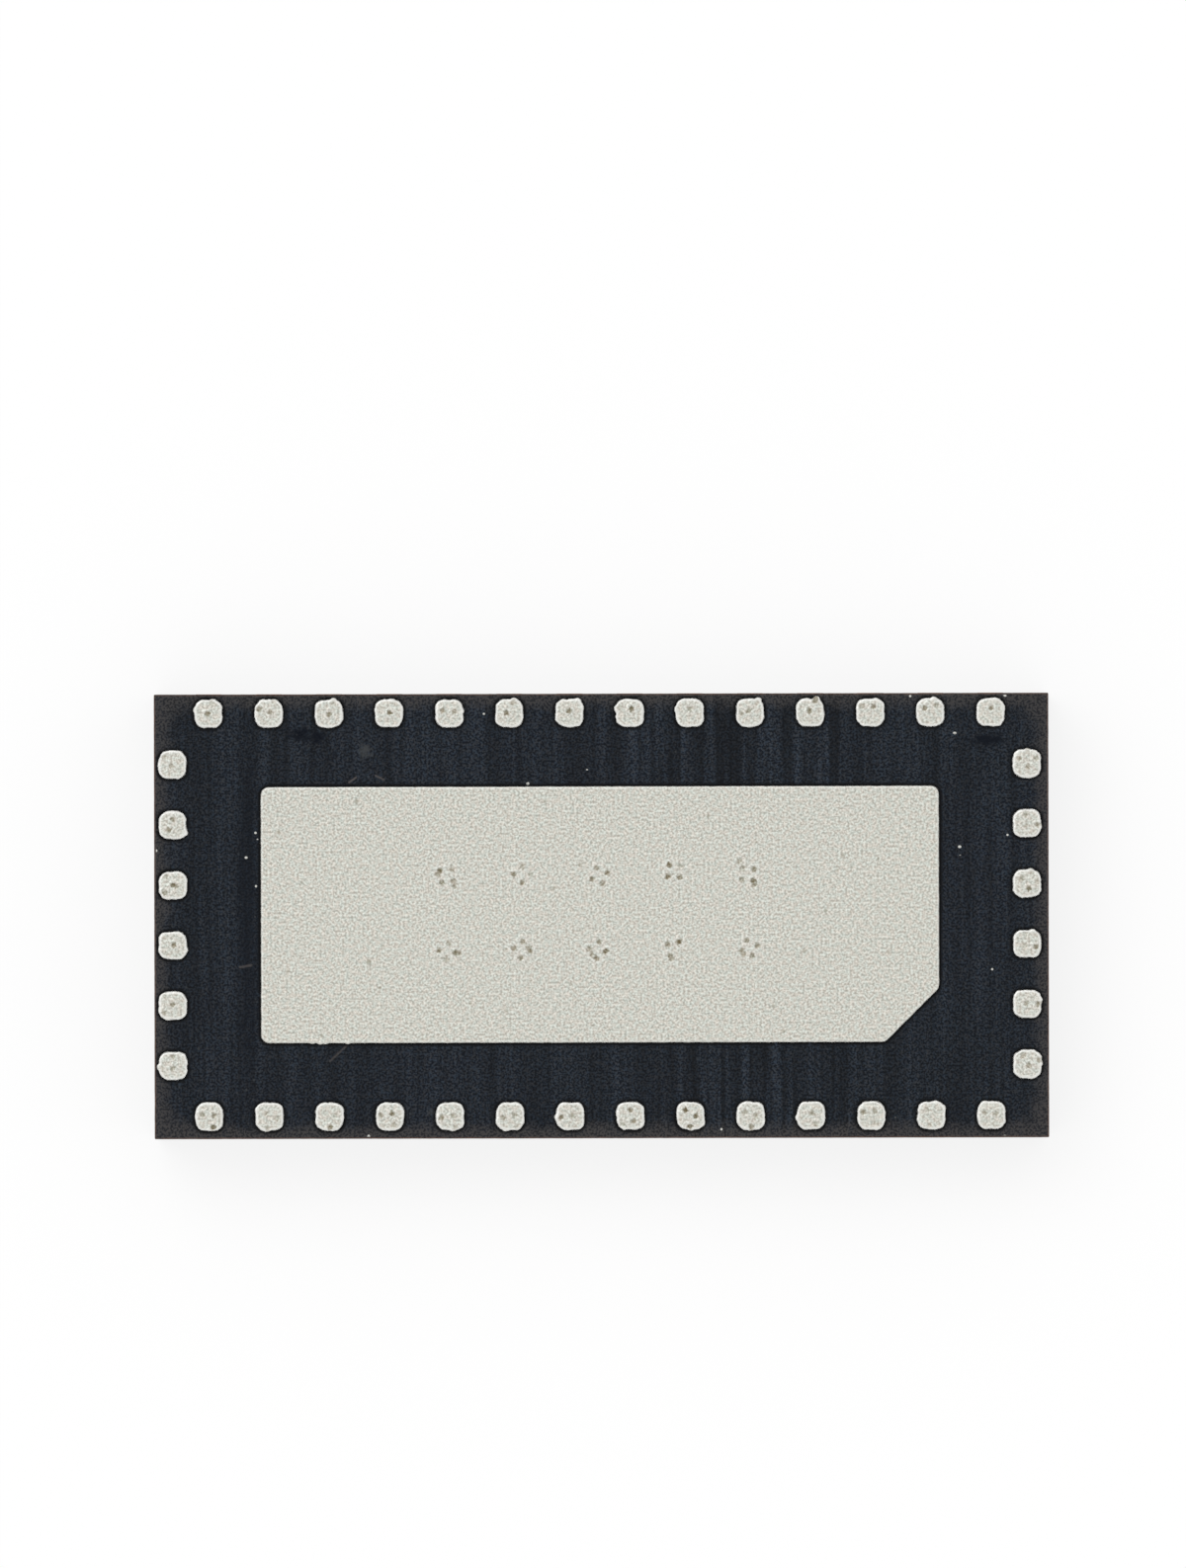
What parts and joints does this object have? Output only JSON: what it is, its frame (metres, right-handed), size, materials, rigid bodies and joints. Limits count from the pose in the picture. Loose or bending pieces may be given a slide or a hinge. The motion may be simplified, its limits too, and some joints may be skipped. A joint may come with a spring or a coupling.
{
  "type": "integrated circuit in a leadless moulded package",
  "caption": "Thin rectangular leadless chip package with square solder lands round all four sides and a large heat pad with one cut corner, lying lands up.",
  "frame": {"origin": "middle of the marked face, on the surface that the part lies on", "axes": "+X along the length, +Y across the width, +Z out of the soldered face"},
  "size_m": [0.006, 0.003, 0.0008],
  "materials": {
    "mould_compound": "matte black, fine grained, sawn sides",
    "tin_plate": "matte tin plate over etched copper",
    "silicon": "polished silicon",
    "silver_paste": "cured silver-filled paste",
    "gold_wire": "drawn gold wire"
  },
  "bodies": {
    "root": {"mold_body": "mould_compound", "heat_pad": "tin_plate", "die": "silicon", "die_attach": "silver_paste", "lead_01": "tin_plate", "lead_02": "tin_plate", "lead_03": "tin_plate", "lead_04": "tin_plate", "lead_05": "tin_plate", "lead_06": "tin_plate", "lead_07": "tin_plate", "lead_08": "tin_plate", "lead_09": "tin_plate", "lead_10": "tin_plate", "lead_11": "tin_plate", "lead_12": "tin_plate", "lead_13": "tin_plate", "lead_14": "tin_plate", "lead_15": "tin_plate", "lead_16": "tin_plate", "lead_17": "tin_plate", "lead_18": "tin_plate", "lead_19": "tin_plate", "lead_20": "tin_plate", "lead_21": "tin_plate", "lead_22": "tin_plate", "lead_23": "tin_plate", "lead_24": "tin_plate", "lead_25": "tin_plate", "lead_26": "tin_plate", "lead_27": "tin_plate", "lead_28": "tin_plate", "lead_29": "tin_plate", "lead_30": "tin_plate", "lead_31": "tin_plate", "lead_32": "tin_plate", "lead_33": "tin_plate", "lead_34": "tin_plate", "lead_35": "tin_plate", "lead_36": "tin_plate", "lead_37": "tin_plate", "lead_38": "tin_plate", "lead_39": "tin_plate", "lead_40": "tin_plate", "front_bond_wires": "gold_wire", "left_bond_wires": "gold_wire", "rear_bond_wires": "gold_wire", "right_bond_wires": "gold_wire", "ground_wires": "gold_wire"}
  },
  "joints": []
}
